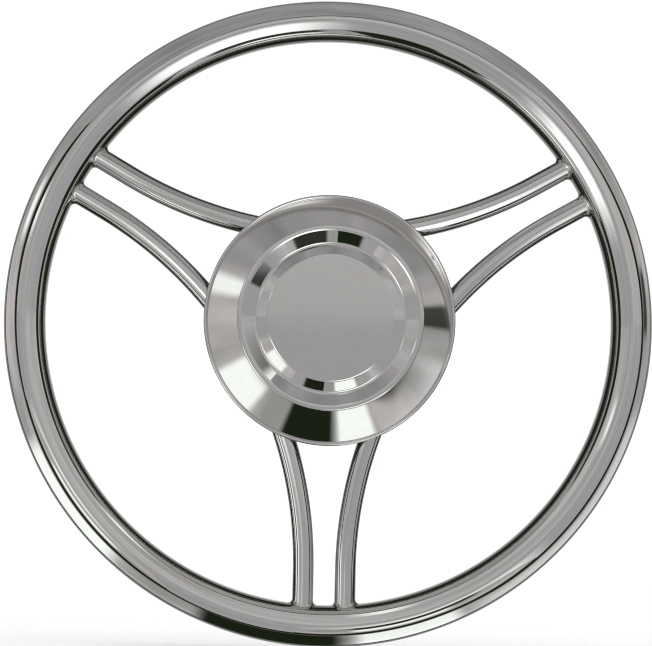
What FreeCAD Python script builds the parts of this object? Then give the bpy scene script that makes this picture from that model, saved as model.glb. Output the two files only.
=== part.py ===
import FreeCAD, Part
import math
import os
import Sketcher
from FreeCAD import Placement, Rotation, Vector

# Boat steering wheel: a polished round tube rim, three bent spoke tubes welded
# to a hub plate and boss, and a pressed centre cap held by three screws.
#
# Frame: origin on the wheel's spin axis in the mid-plane of the rim.
# +Y runs along the axis towards the helm (the back), so the face that the
# helmsman sees looks towards -Y. +Z is up. One pair of spokes points to -Z.
# All sizes are in millimetres.

doc = FreeCAD.newDocument("boat_steering_wheel")

# ---------------------------------------------------------------- dimensions
sheet = doc.addObject("Spreadsheet::Sheet", "Dims")
CELLS = [
    # rim: 15.5 in over the tube, 1 in tube
    ("rim_ring_radius", 184.15),
    ("rim_tube_radius", 12.7),
    ("rim_wall", 1.5),
    # spokes: 1/2 in tube, each pair 1 in centre to centre
    ("spoke_radius", 6.35),
    ("spoke_wall", 1.5),
    ("pair_offset", 12.7),
    ("straight_from", 150.0),
    ("bow_radius", 247.1076),
    ("spoke_overrun", 25.0),
    ("rim_weld_radius", 2.4),
    # hub plate behind the bows
    ("plate_radius", 69.0),
    ("plate_thickness", 3.0),
    ("plate_edge", 0.8),
    ("spigot_radius", 19.0),
    # hub boss: 3/4 in shaft, taper 1 in 12 on diameter
    ("boss_radius", 23.0),
    ("boss_front", 2.0),
    ("boss_rear", 36.0),
    ("boss_edge", 1.5),
    ("bore_rear_radius", 9.525),
    ("bore_front_radius", 7.9417),
    ("keyway_width", 4.7625),
    ("keyway_top", 11.7),
    ("hub_weld_leg", 4.0),
    # weld runs between bows and plate
    ("bow_weld_near", 1.5),
    ("bow_weld_far", 5.6),
    ("bow_weld_angle", 9.6),
    # cap: 6 in over the rolled lip
    ("cap_lip_radius", 76.2),
    ("cap_lip_bead", 1.0),
    ("cap_gap", 0.2),
    ("cap_sheet", 1.2),
    ("cap_disc_radius", 38.2),
    ("cap_disc_height", 16.8),
    ("cap_groove_radius", 45.0),
    ("cap_groove_height", 12.8),
    ("cap_crest_in", 53.0),
    ("cap_crest_out", 55.6),
    ("cap_crest_height", 18.0),
    ("cap_foot_radius", 74.6),
    ("cap_foot_height", 0.9),
    ("cap_disc_round", 2.2),
    ("cap_groove_round", 2.0),
    ("cap_crest_round", 3.0),
    ("cap_edge_round", 1.6),
    # cap fixings, M5
    ("post_circle", 44.4),
    ("post_radius", 5.0),
    ("post_hole_radius", 2.52),
    ("post_hole_depth", 15.0),
    ("plate_hole_radius", 2.75),
    ("screw_radius", 2.5),
    ("screw_length", 16.0),
    ("screw_head_radius", 4.75),
    ("screw_head_height", 2.75),
    ("screw_hex", 3.0),
    ("screw_hex_depth", 1.7),
    ("washer_outer", 4.6),
    ("washer_inner", 2.6),
    ("washer_thickness", 1.2),
    ("washer_slit", 1.0),
]
for i, (alias, value) in enumerate(CELLS):
    row = i + 1
    sheet.set("A%d" % row, alias)
    sheet.set("B%d" % row, "%.6g" % value)
    sheet.setAlias("B%d" % row, alias)
doc.recompute()


def dim(alias):
    return float(getattr(sheet, alias))


# ---------------------------------------------------------------- helpers
def new_body(label):
    body = doc.addObject("PartDesign::Body", label)
    body.Label = label
    return body


def plane(body, role):
    return [f for f in body.Origin.OriginFeatures if f.Role == role][0]


def new_sketch(body, name, role):
    sk = body.newObject("Sketcher::SketchObject", name)
    sk.AttachmentSupport = [(plane(body, role), "")]
    sk.MapMode = "FlatFace"
    return sk


def con(sk, name, *args):
    """Named constraint; returns the name for binding."""
    idx = sk.addConstraint(Sketcher.Constraint(*args))
    if name:
        sk.renameConstraint(idx, name)
    return name


def bind(sk, name, expr):
    sk.setExpression("Constraints." + name, expr)


def polyline(sk, pts):
    """Closed polyline of lines joined end to end."""
    n = len(pts)
    first = sk.GeometryCount
    for i in range(n):
        a, b = pts[i], pts[(i + 1) % n]
        sk.addGeometry(Part.LineSegment(Vector(a[0], a[1], 0), Vector(b[0], b[1], 0)), False)
    for i in range(n):
        sk.addConstraint(Sketcher.Constraint("Coincident", first + i, 2, first + (i + 1) % n, 1))
    return first


def bound_polyline(sk, pts, exprs):
    """Closed polyline whose corners are bound to the sheet, x and y."""
    first = polyline(sk, pts)
    for i, (px, py) in enumerate(pts):
        for axis, value, expr in (("DistanceX", px, exprs[i][0]), ("DistanceY", py, exprs[i][1])):
            name = "%s%d" % ("px" if axis == "DistanceX" else "py", i)
            if expr == "0":
                # the corner lies on an axis of the sketch
                sk.addConstraint(Sketcher.Constraint("PointOnObject", first + i, 1,
                                                     -2 if axis == "DistanceX" else -1))
                continue
            con(sk, name, axis, -1, 1, first + i, 1, value)
            bind(sk, name, expr)
    return first


def circle_edges(shape, radius, height, tol=0.02):
    """Full circular edges about the Y axis at a radius and a height y."""
    names = []
    for k, e in enumerate(shape.Edges):
        c = e.Curve
        if isinstance(c, Part.Circle) and abs(c.Radius - radius) < tol and abs(c.Center.y - height) < tol \
                and abs(abs(c.Axis.y) - 1) < 1e-6:
            names.append("Edge%d" % (k + 1))
    if not names:
        raise RuntimeError("no circle at r=%.3f y=%.3f" % (radius, height))
    return names


SUBPARTS = []

# ---------------------------------------------------------------- rim tube
rim = new_body("rim_tube")
sk = new_sketch(rim, "rim_section", "XY_Plane")
sk.addGeometry(Part.Circle(Vector(184.15, 0, 0), Vector(0, 0, 1), 12.7), False)
sk.addGeometry(Part.Circle(Vector(184.15, 0, 0), Vector(0, 0, 1), 11.2), False)
sk.addConstraint(Sketcher.Constraint("PointOnObject", 0, 3, -1))
sk.addConstraint(Sketcher.Constraint("Coincident", 0, 3, 1, 3))
con(sk, "ring", "DistanceX", -1, 1, 0, 3, 184.15)
con(sk, "outer", "Radius", 0, 12.7)
con(sk, "inner", "Radius", 1, 11.2)
bind(sk, "ring", "Dims.rim_ring_radius")
bind(sk, "outer", "Dims.rim_tube_radius")
bind(sk, "inner", "Dims.rim_tube_radius - Dims.rim_wall")
rev = rim.newObject("PartDesign::Revolution", "rim_ring")
rev.Profile = sk
rev.ReferenceAxis = (sk, ["V_Axis"])
rev.Angle = 360
rim.Placement = Placement(Vector(0, 0, 0), Rotation())
SUBPARTS.append(rim)

# ---------------------------------------------------------------- spoke bows
# Every bow is modelled in the position of the top one: apex above the hub, its
# two ends running out parallel to the axes of the pairs at +60 and -60 degrees
# from straight up. The other two are the same tube turned about the Y axis.


def make_bow(label, turn):
    body = new_body(label)
    off, r0, rho = dim("pair_offset"), dim("straight_from"), dim("bow_radius")
    zc = 2 * r0
    path = new_sketch(body, label + "_path", "XZ_Plane")
    # quarter path: arc from the apex, then the straight end, in X (right), Z (up)
    arc = Part.Arc(Vector(0, zc - rho, 0),
                   Vector(rho * math.sin(math.radians(15)), zc - rho * math.cos(math.radians(15)), 0),
                   Vector(rho * 0.5, zc - rho * math.cos(math.radians(30)), 0))
    path.addGeometry(arc, False)
    t = Vector(rho * 0.5, zc - rho * math.cos(math.radians(30)), 0)
    u = Vector(math.cos(math.radians(30)), math.sin(math.radians(30)), 0)
    run = dim("spoke_overrun")
    path.addGeometry(Part.LineSegment(t, t + u * run), False)
    path.addConstraint(Sketcher.Constraint("PointOnObject", 0, 3, -2))
    path.addConstraint(Sketcher.Constraint("PointOnObject", 0, 1, -2))
    path.addConstraint(Sketcher.Constraint("Tangent", 0, 2, 1, 1))
    con(path, "centre_height", "DistanceY", -1, 1, 0, 3, zc)
    con(path, "bend", "Radius", 0, rho)
    con(path, "direction", "Angle", 1, math.radians(30))
    con(path, "end_run", "Distance", 1, 1, 1, 2, run)
    bind(path, "centre_height", "2 * Dims.straight_from")
    bind(path, "bend", "Dims.bow_radius")
    bind(path, "end_run", "Dims.spoke_overrun")
    sec = new_sketch(body, label + "_section", "YZ_Plane")
    apex = zc - rho
    sec.addGeometry(Part.Circle(Vector(0, apex, 0), Vector(0, 0, 1), 6.35), False)
    sec.addGeometry(Part.Circle(Vector(0, apex, 0), Vector(0, 0, 1), 4.85), False)
    sec.addConstraint(Sketcher.Constraint("PointOnObject", 0, 3, -2))
    sec.addConstraint(Sketcher.Constraint("Coincident", 0, 3, 1, 3))
    con(sec, "apex", "DistanceY", -1, 1, 0, 3, apex)
    con(sec, "outer", "Radius", 0, 6.35)
    con(sec, "inner", "Radius", 1, 4.85)
    bind(sec, "apex", "2 * Dims.straight_from - Dims.bow_radius")
    bind(sec, "outer", "Dims.spoke_radius")
    bind(sec, "inner", "Dims.spoke_radius - Dims.spoke_wall")
    doc.recompute()
    pipe = body.newObject("PartDesign::AdditivePipe", label + "_tube")
    pipe.Profile = sec
    pipe.Spine = (path, ["Edge1", "Edge2"])
    pipe.Mode = "Standard"
    doc.recompute()
    mir = body.newObject("PartDesign::Mirrored", label + "_mirror")
    mir.Originals = [pipe]
    mir.MirrorPlane = (plane(body, "YZ_Plane"), [""])
    body.Tip = mir
    doc.recompute()
    before = mir.Shape.Volume
    # saddle cut of both ends where they meet the rim tube
    cope = new_sketch(body, label + "_cope_section", "XY_Plane")
    cope.addGeometry(Part.Circle(Vector(184.15, 0, 0), Vector(0, 0, 1), 12.7), False)
    cope.addConstraint(Sketcher.Constraint("PointOnObject", 0, 3, -1))
    con(cope, "ring", "DistanceX", -1, 1, 0, 3, 184.15)
    con(cope, "tube", "Radius", 0, 12.7)
    bind(cope, "ring", "Dims.rim_ring_radius")
    bind(cope, "tube", "Dims.rim_tube_radius")
    gr = body.newObject("PartDesign::Groove", label + "_cope")
    gr.Profile = cope
    gr.ReferenceAxis = (cope, ["V_Axis"])
    gr.Angle = 360
    doc.recompute()
    print(label, "volume before cope %.1f after %.1f" % (before, gr.Shape.Volume),
          "solids", len(gr.Shape.Solids))
    if not gr.Shape.Volume < before - 1:
        raise RuntimeError("the cope of %s cut nothing" % label)
    body.Placement = Placement(Vector(0, 0, 0), Rotation(Vector(0, 1, 0), turn))
    SUBPARTS.append(body)
    return body


# turning by +120 degrees about +Y takes +Z towards +X
bow_top = make_bow("spoke_bow_top", 0)
bow_right = make_bow("spoke_bow_right", 120)
bow_left = make_bow("spoke_bow_left", -120)

# ---------------------------------------------------------------- rim welds
# A small polished fillet all round each spoke end: the corner between the rim
# tube and the spoke tube, filled to a concave radius.


def make_rim_weld(label, pair_deg, side):
    """pair_deg is clockwise from straight up, side is +1 clockwise of the pair's axis."""
    a = math.radians(pair_deg)
    u = Vector(math.sin(a), 0, math.cos(a))
    n = Vector(math.cos(a), 0, -math.sin(a)) * side
    off = dim("pair_offset")
    start = u * 150.0 + n * off
    ring = doc.addObject("Part::Torus", label + "_rim")
    ring.setExpression("Radius1", "Dims.rim_ring_radius")
    ring.setExpression("Radius2", "Dims.rim_tube_radius")
    ring.Angle3 = 24
    # the torus is made about its own Z; turn that to -Y, and centre the piece on the spoke
    at = pair_deg + side * math.degrees(math.asin(off / dim("rim_ring_radius")))
    ring.Placement = Placement(Vector(0, 0, 0),
                               Rotation(Vector(0, 1, 0), at - 90 - 12) * Rotation(Vector(1, 0, 0), -90))
    tube = doc.addObject("Part::Cylinder", label + "_spoke")
    tube.setExpression("Radius", "Dims.spoke_radius")
    tube.Height = 30
    tube.Placement = Placement(start, Rotation(Vector(0, 0, 1), u))
    both = doc.addObject("Part::Fuse", label + "_joined")
    both.Base = ring
    both.Tool = tube
    doc.recompute()
    picked = []
    for k, e in enumerate(both.Shape.Edges):
        # the seam between the two tubes: every point lies on both surfaces
        ok = True
        for q in (0.1, 0.35, 0.6, 0.85):
            p = e.valueAt(e.FirstParameter + q * (e.LastParameter - e.FirstParameter))
            d_rim = math.hypot(math.hypot(p.x, p.z) - dim("rim_ring_radius"), p.y) - dim("rim_tube_radius")
            v = p - start
            d_tube = (v - u * v.dot(u)).Length - dim("spoke_radius")
            if abs(d_rim) > 1e-3 or abs(d_tube) > 1e-3:
                ok = False
        if ok:
            picked.append((k + 1, dim("rim_weld_radius"), dim("rim_weld_radius")))
    if not picked:
        raise RuntimeError("no seam for " + label)
    fil = doc.addObject("Part::Fillet", label + "_fillet")
    fil.Base = both
    fil.Edges = picked
    weld = doc.addObject("Part::Cut", label)
    weld.Label = label
    weld.Base = fil
    weld.Tool = both
    doc.recompute()
    print(label, "seam edges", len(picked), "solids", len(weld.Shape.Solids),
          "volume %.2f" % weld.Shape.Volume)
    SUBPARTS.append(weld)
    return weld


make_rim_weld("rim_weld_upper_right", 60, -1)
make_rim_weld("rim_weld_lower_right", 60, 1)
make_rim_weld("rim_weld_bottom_right", 180, -1)
make_rim_weld("rim_weld_bottom_left", 180, 1)
make_rim_weld("rim_weld_lower_left", 300, -1)
make_rim_weld("rim_weld_upper_left", 300, 1)

# ---------------------------------------------------------------- hub plate
# A flat disc that the backs of the bows lie on, bored for the hub's spigot and
# drilled for the three cap screws in the directions of the spoke pairs.
hub_plate = new_body("hub_plate")
sk = new_sketch(hub_plate, "plate_outline", "XZ_Plane")
sk.addGeometry(Part.Circle(Vector(0, 0, 0), Vector(0, 0, 1), 69.0), False)
sk.addGeometry(Part.Circle(Vector(0, 0, 0), Vector(0, 0, 1), 19.0), False)
sk.addConstraint(Sketcher.Constraint("Coincident", 0, 3, -1, 1))
sk.addConstraint(Sketcher.Constraint("Coincident", 1, 3, -1, 1))
con(sk, "outer", "Radius", 0, 69.0)
con(sk, "spigot", "Radius", 1, 19.0)
bind(sk, "outer", "Dims.plate_radius")
bind(sk, "spigot", "Dims.spigot_radius")
# the sketch's normal is -Y: it lies on the plate's rear face and the pad runs forward
sk.setExpression("AttachmentOffset.Base.z", "-(Dims.spoke_radius + Dims.plate_thickness)")
pad = hub_plate.newObject("PartDesign::Pad", "plate_pad")
pad.Profile = sk
pad.setExpression("Length", "Dims.plate_thickness")
doc.recompute()
rear_y = dim("spoke_radius") + dim("plate_thickness")
front_y = dim("spoke_radius")
fil = hub_plate.newObject("PartDesign::Chamfer", "plate_rim_chamfer")
fil.Base = (pad, circle_edges(pad.Shape, dim("plate_radius"), rear_y)
            + circle_edges(pad.Shape, dim("plate_radius"), front_y))
fil.setExpression("Size", "Dims.plate_edge")
doc.recompute()
sk = new_sketch(hub_plate, "plate_hole", "XZ_Plane")
sk.addGeometry(Part.Circle(Vector(0, -44.4, 0), Vector(0, 0, 1), 2.75), False)
sk.addConstraint(Sketcher.Constraint("PointOnObject", 0, 3, -2))
con(sk, "circle", "DistanceY", 0, 3, -1, 1, 44.4)
con(sk, "hole", "Radius", 0, 2.75)
bind(sk, "circle", "Dims.post_circle")
bind(sk, "hole", "Dims.plate_hole_radius")
poc = hub_plate.newObject("PartDesign::Pocket", "plate_hole_cut")
poc.Profile = sk
poc.Type = "ThroughAll"
poc.Midplane = True
doc.recompute()
pat = hub_plate.newObject("PartDesign::PolarPattern", "plate_hole_pattern")
pat.Originals = [poc]
pat.Axis = (sk, ["N_Axis"])
pat.Angle = 360
pat.Occurrences = 3
hub_plate.Tip = pat
doc.recompute()
print("hub_plate volume %.1f of pad %.1f, %d faces" % (pat.Shape.Volume, pad.Shape.Volume, len(pat.Shape.Faces)))
hub_plate.Placement = Placement(Vector(0, 0, 0), Rotation())
SUBPARTS.append(hub_plate)

# ---------------------------------------------------------------- hub boss
# Turned boss: a spigot through the plate, a larger body behind it, a bore that
# tapers 1 in 12 on diameter and is widest at the rear, and one keyway.
boss = new_body("hub_boss")
sk = new_sketch(boss, "boss_section", "XY_Plane")
Y0, Y1, Y2 = -dim("boss_front"), dim("spoke_radius") + dim("plate_thickness"), dim("boss_rear")
bound_polyline(
    sk,
    [(dim("bore_front_radius"), Y0), (dim("spigot_radius"), Y0), (dim("spigot_radius"), Y1),
     (dim("boss_radius"), Y1), (dim("boss_radius"), Y2), (dim("bore_rear_radius"), Y2)],
    [("Dims.bore_front_radius", "-Dims.boss_front"),
     ("Dims.spigot_radius", "-Dims.boss_front"),
     ("Dims.spigot_radius", "Dims.spoke_radius + Dims.plate_thickness"),
     ("Dims.boss_radius", "Dims.spoke_radius + Dims.plate_thickness"),
     ("Dims.boss_radius", "Dims.boss_rear"),
     ("Dims.bore_rear_radius", "Dims.boss_rear")])
rev = boss.newObject("PartDesign::Revolution", "boss_turned")
rev.Profile = sk
rev.ReferenceAxis = (sk, ["V_Axis"])
rev.Angle = 360
doc.recompute()
ch = boss.newObject("PartDesign::Chamfer", "boss_chamfer")
ch.Base = (rev, circle_edges(rev.Shape, dim("boss_radius"), Y2)
           + circle_edges(rev.Shape, dim("spigot_radius"), Y0))
ch.setExpression("Size", "Dims.boss_edge")
doc.recompute()
sk = new_sketch(boss, "keyway_outline", "XZ_Plane")
kw, kt = dim("keyway_width") / 2, dim("keyway_top")
bound_polyline(sk, [(-kw, 0), (kw, 0), (kw, kt), (-kw, kt)],
               [("-Dims.keyway_width / 2", "0"), ("Dims.keyway_width / 2", "0"),
                ("Dims.keyway_width / 2", "Dims.keyway_top"),
                ("-Dims.keyway_width / 2", "Dims.keyway_top")])
poc = boss.newObject("PartDesign::Pocket", "keyway_cut")
poc.Profile = sk
poc.Type = "ThroughAll"
poc.Midplane = True
doc.recompute()
print("hub_boss volume %.1f after keyway, %.1f before" % (poc.Shape.Volume, ch.Shape.Volume))
if not poc.Shape.Volume < ch.Shape.Volume - 50:
    raise RuntimeError("the keyway cut nothing")
boss.Placement = Placement(Vector(0, 0, 0), Rotation())
SUBPARTS.append(boss)


# ---------------------------------------------------------------- hub welds
def make_ring_weld(label, radius_alias, face_expr, face_y, sign):
    """Ring weld between a round body and the plate: a triangle with a hollow face."""
    body = new_body(label)
    sk = new_sketch(body, label + "_section", "XY_Plane")
    r, leg = dim(radius_alias), dim("hub_weld_leg")
    bound_polyline(sk, [(r, face_y), (r + leg, face_y), (r + 0.36 * leg, face_y + sign * 0.36 * leg),
                        (r, face_y + sign * leg)],
                   [("Dims." + radius_alias, face_expr),
                    ("Dims." + radius_alias + " + Dims.hub_weld_leg", face_expr),
                    ("Dims." + radius_alias + " + 0.36 * Dims.hub_weld_leg",
                     face_expr + (" + " if sign > 0 else " - ") + "0.36 * Dims.hub_weld_leg"),
                    ("Dims." + radius_alias,
                     face_expr + (" + " if sign > 0 else " - ") + "Dims.hub_weld_leg")])
    rev = body.newObject("PartDesign::Revolution", label + "_ring")
    rev.Profile = sk
    rev.ReferenceAxis = (sk, ["V_Axis"])
    rev.Angle = 360
    doc.recompute()
    f = body.newObject("PartDesign::Fillet", label + "_round")
    f.Base = (rev, circle_edges(rev.Shape, r + 0.36 * leg, face_y + sign * 0.36 * leg))
    f.Radius = 2.5
    body.Placement = Placement(Vector(0, 0, 0), Rotation())
    SUBPARTS.append(body)
    return body


make_ring_weld("hub_weld_rear", "boss_radius", "Dims.spoke_radius + Dims.plate_thickness", rear_y, 1)
make_ring_weld("hub_weld_front", "spigot_radius", "Dims.spoke_radius", front_y, -1)


# ---------------------------------------------------------------- bow welds
# A run of weld on each side of each bow where it lies on the plate. It follows
# the bend, so it is turned about the bend's own centre. Section, seen across
# the tube: flat on the plate, hollow on the outside, round against the tube.
def make_bow_weld(label, turn, outward):
    body = new_body(label)
    r0, rho, rs = dim("straight_from"), dim("bow_radius"), dim("spoke_radius")
    near, far = dim("bow_weld_near"), dim("bow_weld_far")
    s = 1 if outward else -1
    # the sketch lies in the YZ plane: x of the sketch is Y, y of the sketch is Z
    apex = 2 * r0 - rho
    a_near = math.asin(near / rs)
    ang = math.radians(62)
    p_plate_near = Vector(rs, apex + s * near, 0)
    p_plate_far = Vector(rs, apex + s * far, 0)
    p_tube_far = Vector(rs * math.cos(ang), apex + s * rs * math.sin(ang), 0)
    p_tube_near = Vector(rs * math.cos(a_near), apex + s * near, 0)
    # counter-clockwise arc of the tube's outline, from its start angle to its end angle
    start_a, end_a = (a_near, ang) if s > 0 else (-ang, -a_near)
    far_end, near_end = (2, 1) if s > 0 else (1, 2)
    sk = new_sketch(body, label + "_section", "YZ_Plane")
    sk.addGeometry(Part.LineSegment(p_plate_near, p_plate_far), False)
    sk.addGeometry(Part.LineSegment(p_plate_far, p_tube_far), False)
    sk.addGeometry(Part.ArcOfCircle(Part.Circle(Vector(0, apex, 0), Vector(0, 0, 1), rs), start_a, end_a), False)
    sk.addGeometry(Part.LineSegment(p_tube_near, p_plate_near), False)
    # axis of the bend, parallel to Y at the height of its centre
    sk.addGeometry(Part.LineSegment(Vector(-5, 2 * r0, 0), Vector(5, 2 * r0, 0)), True)
    sk.addConstraint(Sketcher.Constraint("Coincident", 0, 2, 1, 1))
    sk.addConstraint(Sketcher.Constraint("Coincident", 1, 2, 2, far_end))
    sk.addConstraint(Sketcher.Constraint("Coincident", 2, near_end, 3, 1))
    sk.addConstraint(Sketcher.Constraint("Coincident", 3, 2, 0, 1))
    sk.addConstraint(Sketcher.Constraint("Vertical", 0))
    sk.addConstraint(Sketcher.Constraint("Horizontal", 3))
    sk.addConstraint(Sketcher.Constraint("Horizontal", 4))
    con(sk, "tube", "Radius", 2, rs)
    sk.addConstraint(Sketcher.Constraint("PointOnObject", 2, 3, -2))
    con(sk, "apex", "DistanceY", -1, 1, 2, 3, apex)
    con(sk, "plate", "DistanceX", -1, 1, 0, 1, rs)
    con(sk, "near", "DistanceY", *((2, 3, 0, 1, near) if s > 0 else (0, 1, 2, 3, near)))
    con(sk, "far", "DistanceY", *((2, 3, 0, 2, far) if s > 0 else (0, 2, 2, 3, far)))
    con(sk, "bend_axis", "DistanceY", -1, 1, 4, 1, 2 * r0)
    bind(sk, "tube", "Dims.spoke_radius")
    bind(sk, "apex", "2 * Dims.straight_from - Dims.bow_radius")
    bind(sk, "plate", "Dims.spoke_radius")
    bind(sk, "near", "Dims.bow_weld_near")
    bind(sk, "far", "Dims.bow_weld_far")
    bind(sk, "bend_axis", "2 * Dims.straight_from")
    rev = body.newObject("PartDesign::Revolution", label + "_run")
    rev.Profile = sk
    rev.ReferenceAxis = (sk, ["Axis0"])
    rev.Midplane = True
    rev.setExpression("Angle", "Dims.bow_weld_angle")
    body.Placement = Placement(Vector(0, 0, 0), Rotation(Vector(0, 1, 0), turn))
    SUBPARTS.append(body)
    return body


for name, turn in (("top", 0), ("right", 120), ("left", -120)):
    make_bow_weld("bow_weld_%s_inner" % name, turn, False)
    make_bow_weld("bow_weld_%s_outer" % name, turn, True)
doc.recompute()

# ---------------------------------------------------------------- cap shell
# Pressed dish: flat centre disc, rounded shoulder, groove, slope up to the
# crest, crest, long bevel down to the foot, and a rolled lip. Heights are
# measured forward (-Y) from the lip's rear.
cap = new_body("cap_shell")
base = dim("spoke_radius") + dim("cap_gap")
BASE = "Dims.spoke_radius + Dims.cap_gap"
sk = new_sketch(cap, "cap_section", "XY_Plane")
pts = [(0.0, -base), (0.0, -base - dim("cap_disc_height")),
       (dim("cap_disc_radius"), -base - dim("cap_disc_height")),
       (dim("cap_groove_radius"), -base - dim("cap_groove_height")),
       (dim("cap_crest_in"), -base - dim("cap_crest_height")),
       (dim("cap_crest_out"), -base - dim("cap_crest_height")),
       (dim("cap_foot_radius"), -base - dim("cap_foot_height")),
       (dim("cap_foot_radius"), -base)]
ex = [("0", "-(%s)" % BASE), ("0", "-(%s + Dims.cap_disc_height)" % BASE),
      ("Dims.cap_disc_radius", "-(%s + Dims.cap_disc_height)" % BASE),
      ("Dims.cap_groove_radius", "-(%s + Dims.cap_groove_height)" % BASE),
      ("Dims.cap_crest_in", "-(%s + Dims.cap_crest_height)" % BASE),
      ("Dims.cap_crest_out", "-(%s + Dims.cap_crest_height)" % BASE),
      ("Dims.cap_foot_radius", "-(%s + Dims.cap_foot_height)" % BASE),
      ("Dims.cap_foot_radius", "-(%s)" % BASE)]
bound_polyline(sk, pts, ex)
rev = cap.newObject("PartDesign::Revolution", "cap_form")
rev.Profile = sk
rev.ReferenceAxis = (sk, ["V_Axis"])
rev.Angle = 360
doc.recompute()
last = rev
for k, (r_a, h_a, f_a) in enumerate((("cap_disc_radius", "cap_disc_height", "cap_disc_round"),
                                     ("cap_groove_radius", "cap_groove_height", "cap_groove_round"),
                                     ("cap_crest_in", "cap_crest_height", "cap_crest_round"),
                                     ("cap_crest_out", "cap_crest_height", "cap_edge_round"))):
    f = cap.newObject("PartDesign::Fillet", "cap_round_%d" % (k + 1))
    f.Base = (last, circle_edges(last.Shape, dim(r_a), -base - dim(h_a)))
    f.setExpression("Radius", "Dims." + f_a)
    doc.recompute()
    last = f
# hollow the form from behind to the sheet's thickness
back = None
for k, fc in enumerate(last.Shape.Faces):
    bb = fc.BoundBox
    if abs(bb.YMin + base) < 1e-4 and abs(bb.YMax + base) < 1e-4:
        back = "Face%d" % (k + 1)
th = cap.newObject("PartDesign::Thickness", "cap_sheet_form")
th.Base = (last, [back])
th.Reversed = True
th.Mode = 0
th.Join = 0
th.setExpression("Value", "Dims.cap_sheet")
doc.recompute()
print("cap shell volume %.1f, form %.1f, faces %d" % (th.Shape.Volume, last.Shape.Volume, len(th.Shape.Faces)))
# rolled lip: a full bead round the foot
sk = new_sketch(cap, "lip_section", "XY_Plane")
lr, lb = dim("cap_lip_radius"), dim("cap_lip_bead")
sk.addGeometry(Part.Circle(Vector(lr - lb, -base - lb, 0), Vector(0, 0, 1), lb), False)
con(sk, "bead", "Radius", 0, lb)
con(sk, "lip", "DistanceX", -1, 1, 0, 3, lr - lb)
con(sk, "rear", "DistanceY", 0, 3, -1, 1, base + lb)
bind(sk, "bead", "Dims.cap_lip_bead")
bind(sk, "lip", "Dims.cap_lip_radius - Dims.cap_lip_bead")
bind(sk, "rear", BASE + " + Dims.cap_lip_bead")
lip = cap.newObject("PartDesign::Revolution", "cap_lip")
lip.Profile = sk
lip.ReferenceAxis = (sk, ["V_Axis"])
lip.Angle = 360
doc.recompute()
print("cap with lip volume %.1f, solids %d" % (lip.Shape.Volume, len(lip.Shape.Solids)))
cap.Placement = Placement(Vector(0, 0, 0), Rotation())
SUBPARTS.append(cap)

# ---------------------------------------------------------------- cap posts
# Three round posts with a blind tapped hole; their front ends meet the back of
# the cap's groove. One under each spoke pair's direction.
inner_groove = base + dim("cap_groove_height") - dim("cap_sheet")


def make_post(label, turn):
    body = new_body(label)
    sk = new_sketch(body, label + "_outline", "XZ_Plane")
    sk.addGeometry(Part.Circle(Vector(0, -44.4, 0), Vector(0, 0, 1), 5.0), False)
    sk.addConstraint(Sketcher.Constraint("PointOnObject", 0, 3, -2))
    con(sk, "circle", "DistanceY", 0, 3, -1, 1, 44.4)
    con(sk, "post", "Radius", 0, 5.0)
    bind(sk, "circle", "Dims.post_circle")
    bind(sk, "post", "Dims.post_radius")
    sk.setExpression("AttachmentOffset.Base.z", "-Dims.spoke_radius")
    pad = body.newObject("PartDesign::Pad", label + "_pad")
    pad.Profile = sk
    length = dim("spoke_radius") + POST_FRONT
    pad.Length = length
    doc.recompute()
    sk = new_sketch(body, label + "_hole", "XZ_Plane")
    sk.addGeometry(Part.Circle(Vector(0, -44.4, 0), Vector(0, 0, 1), 2.52), False)
    sk.addConstraint(Sketcher.Constraint("PointOnObject", 0, 3, -2))
    con(sk, "circle", "DistanceY", 0, 3, -1, 1, 44.4)
    con(sk, "hole", "Radius", 0, 2.52)
    bind(sk, "circle", "Dims.post_circle")
    bind(sk, "hole", "Dims.post_hole_radius")
    sk.setExpression("AttachmentOffset.Base.z", "-Dims.spoke_radius")
    poc = body.newObject("PartDesign::Pocket", label + "_tapping")
    poc.Profile = sk
    poc.setExpression("Length", "Dims.post_hole_depth")
    # the sketch's normal is -Y and the post is in front of the sketch
    poc.Reversed = True
    doc.recompute()
    if not poc.Shape.Volume < pad.Shape.Volume - 100:
        raise RuntimeError("the hole of %s cut nothing" % label)
    body.Placement = Placement(Vector(0, 0, 0), Rotation(Vector(0, 1, 0), turn))
    SUBPARTS.append(body)
    return body


# the lowest point of the cap's back over the post: the groove's rounded ridge
section = th.Shape.slice(Vector(0, 0, 1), 0.0)
low = None
for w in section:
    for e in w.Edges:
        for q in range(41):
            p = e.valueAt(e.FirstParameter + (e.LastParameter - e.FirstParameter) * q / 40.0)
            if abs(abs(p.x) - dim("post_circle")) < dim("post_radius"):
                if low is None or p.y > low:
                    low = p.y
POST_FRONT = -low
print("post front at y = %.3f" % low)
make_post("cap_post_bottom", 0)
make_post("cap_post_left", 120)
make_post("cap_post_right", -120)

# ---------------------------------------------------------------- cap screws
screws = new_body("cap_screws")
washer_rear = rear_y + dim("washer_thickness")
WASHER_REAR = "Dims.spoke_radius + Dims.plate_thickness + Dims.washer_thickness"
sk = new_sketch(screws, "screw_shank", "XZ_Plane")
sk.addGeometry(Part.Circle(Vector(0, -44.4, 0), Vector(0, 0, 1), 2.5), False)
sk.addConstraint(Sketcher.Constraint("PointOnObject", 0, 3, -2))
con(sk, "circle", "DistanceY", 0, 3, -1, 1, 44.4)
con(sk, "shank", "Radius", 0, 2.5)
bind(sk, "circle", "Dims.post_circle")
bind(sk, "shank", "Dims.screw_radius")
sk.setExpression("AttachmentOffset.Base.z", "-(%s)" % WASHER_REAR)
shank = screws.newObject("PartDesign::Pad", "shank_pad")
shank.Profile = sk
shank.setExpression("Length", "Dims.screw_length")
sk = new_sketch(screws, "screw_head", "XZ_Plane")
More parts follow.
